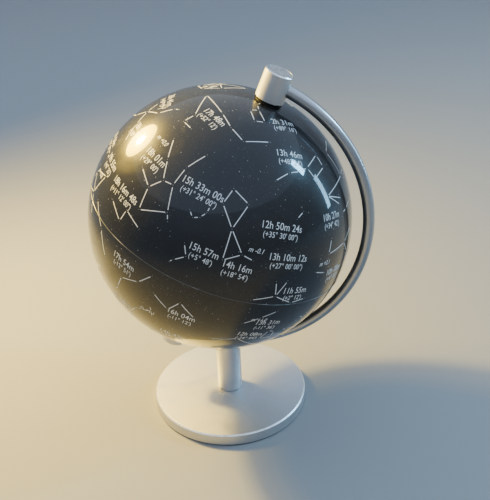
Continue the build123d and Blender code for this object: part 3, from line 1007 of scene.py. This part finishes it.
def add_words(form, words, place, drop, capitals, slant=0.0):
    """One centred line of type on the sphere, a little below its place, as closed raised ink."""
    type_line = bpy.data.curves.new("type_line", "FONT")
    type_line.body = words
    type_line.size = capitals / capital_share
    type_line.shear = slant
    type_line.align_x = "CENTER"
    type_line.resolution_u = 3
    type_line.fill_mode = "FRONT"
    type_line.offset = type_weight
    holder = linked_piece("type_line", type_line)
    graph = bpy.context.evaluated_depsgraph_get()
    flat = bpy.data.meshes.new_from_object(holder.evaluated_get(graph))
    letters = bmesh.new()
    letters.from_mesh(flat)
    bpy.data.objects.remove(holder)
    bpy.data.meshes.remove(flat)
    bmesh.ops.remove_doubles(letters, verts=letters.verts, dist=0.0005)
    raised = bmesh.ops.extrude_face_region(letters, geom=letters.faces[:])["geom"]
    tops = {corner for corner in raised if isinstance(corner, bmesh.types.BMVert)}
    centre = sky(*place)
    right = Vector((0, 0, 1)).cross(centre).normalized()
    up = centre.cross(right)
    for vertex in letters.verts:
        across = vertex.co.x * letter_narrowing / globe_radius
        along = (vertex.co.y - drop - capitals / 2) / globe_radius
        level = globe_radius + caption_rise if vertex in tops else globe_radius - ink_sink
        vertex.co = (centre + right * across + up * along).normalized() * level
    word_mesh = bpy.data.meshes.new("words")
    letters.to_mesh(word_mesh)
    letters.free()
    form.from_mesh(word_mesh)
    bpy.data.meshes.remove(word_mesh)


caption_form = bmesh.new()
for caption_place, *chains in figures:
    hours, degrees = chains[0][0]
    minutes, seconds = divmod(round(hours * 3600) // 6 * 6, 60)
    first_line = f"{minutes // 60}h {minutes % 60:02d}m"
    arc_minutes = round(abs(degrees) * 60)
    second_line = f"{'-' if degrees < 0 else '+'}{arc_minutes // 60}° {arc_minutes % 60:02d}'"
    if caption_place in precise_captions:
        first_line += f" {seconds:02d}s"
        second_line += " 00\""
    add_words(caption_form, first_line, caption_place, 0, first_line_capitals)
    add_words(caption_form, f"({second_line})", caption_place, line_drop, second_line_capitals)
for hours, degrees, brightness in bright_stars:
    lead = star_note_lead / math.cos(math.radians(degrees))
    note_place = ((hours - lead) % 24, degrees + star_note_lift)
    add_words(caption_form, f"m {brightness:+.1f}", note_place, 0, star_note_capitals, star_note_slant)
printed("captions", caption_form)

# ---- room ----
# A plain pale floor that sweeps up all round into a plain pale wall, open above.
floor_colour = (0.36, 0.36, 0.36)
wall_colour = (0.68, 0.68, 0.68)
paler_up_to = 0.7
floor_radius = 1.45
wall_bend_radius = 0.35
wall_height = 1.15
wall_bend_steps = 16
room_sides = 96

room_form = bmesh.new()
profile = [(floor_radius, 0.0)]
for step in range(1, wall_bend_steps + 1):
    turn = math.pi / 2 * step / wall_bend_steps
    reach = floor_radius + wall_bend_radius * math.sin(turn)
    profile.append((reach, wall_bend_radius * (1 - math.cos(turn))))
profile.append((floor_radius + wall_bend_radius, wall_height))
rings = []
for reach, height in profile:
    rings.append([room_form.verts.new((*spot, height)) for spot in circle(room_sides, reach)])
skin(room_form, rings[::-1])
for face in room_form.faces:
    face.smooth = True
room_form.faces.new(rings[0])
room_mesh = bpy.data.meshes.new("room")
room_form.to_mesh(room_mesh)
room_form.free()
room = linked_piece("room", room_mesh)
room_paint, room_tree, room_shader = new_finish("room_paint", Roughness=0.9)
room_height = placed(room_tree, "ShaderNodeSeparateXYZ", None, {"Vector": coordinates(room_tree)})
paleness = ranged(room_tree, room_height.outputs["Z"], 0.0, 1.0, 0.0, paler_up_to)
feed(room_tree, room_shader, Base_Color=mixed_colour(room_tree, paleness, floor_colour, wall_colour))
room_mesh.materials.append(room_paint)

# ---- light ----
# A small warm lamp close by on the left, with a bright bulb in a wider shade, two cool windows
# behind on the right, one of them low, and a soft cool light from the open top of the room.
world = bpy.data.worlds.new("soft_room_light")
bpy.context.scene.world = world
world.use_nodes = True
sky_light = world.node_tree.nodes["Background"].inputs
sky_light["Color"].default_value = (0.65, 0.79, 1.0, 1)
sky_light["Strength"].default_value = 0.98


def soft_light(name, start, direction, distance, size, colour, power, shape="ELLIPSE"):
    """A soft light set off from a starting point, facing back to it."""
    lamp = bpy.data.lights.new(name, "AREA")
    lamp.shape = shape
    lamp.size, lamp.size_y = size
    lamp.color = colour
    lamp.energy = power
    holder = bpy.data.objects.new(name, lamp)
    bpy.context.scene.collection.objects.link(holder)
    holder.location = Vector(start) + Vector(direction).normalized() * distance
    holder.rotation_euler = (-Vector(direction)).to_track_quat("-Z", "Y").to_euler()


lamp_spot = (-0.026, -0.023, 0.146)
lamp_direction = (-0.755, 0.39, 0.524)
window_spot = (0.02, -0.01, 0.12)
window_direction = (0.81, 0.27, 0.52)
low_window_direction = (0.88, 0.42, 0.12)
window_distance = 1.1
soft_light("warm_lamp_shade", lamp_spot, lamp_direction, 0.31, (0.13, 0.13), (1.0, 0.66, 0.06), power=2.2)
soft_light("warm_lamp_bulb", lamp_spot, lamp_direction, 0.30, (0.034, 0.034), (1.0, 0.73, 0.20), power=2.5)
soft_light(
    "cool_window", window_spot, window_direction, window_distance, (0.10, 0.22), (0.34, 0.70, 1.0),
    power=3.4, shape="RECTANGLE",
)
soft_light(
    "low_cool_window", window_spot, low_window_direction, window_distance, (0.09, 0.40), (0.36, 0.70, 1.0),
    power=1.5, shape="RECTANGLE",
)
bpy.context.scene.view_settings.look = "AgX - Medium High Contrast"

# ---- camera ----
# Held a little above and in front of the globe, looking down on it with a slight roll.
camera_heading = math.radians(10.33)
camera_dip = math.radians(32.34)
camera_roll = math.radians(-1.97)
camera_place = Vector((0.0634, -0.2817, 0.2411))

lens = bpy.data.cameras.new("camera")
lens.lens = 52.0
lens.sensor_width = 36.0
lens.shift_x = -0.011
lens.shift_y = 0.095
lens.clip_start = 0.01
camera = bpy.data.objects.new("camera", lens)
bpy.context.scene.collection.objects.link(camera)
camera_turn = Matrix.Rotation(camera_heading, 4, "Z") @ Matrix.Rotation(math.pi / 2 - camera_dip, 4, "X")
camera.matrix_world = Matrix.Translation(camera_place) @ camera_turn @ Matrix.Rotation(camera_roll, 4, "Z")
bpy.context.scene.camera = camera
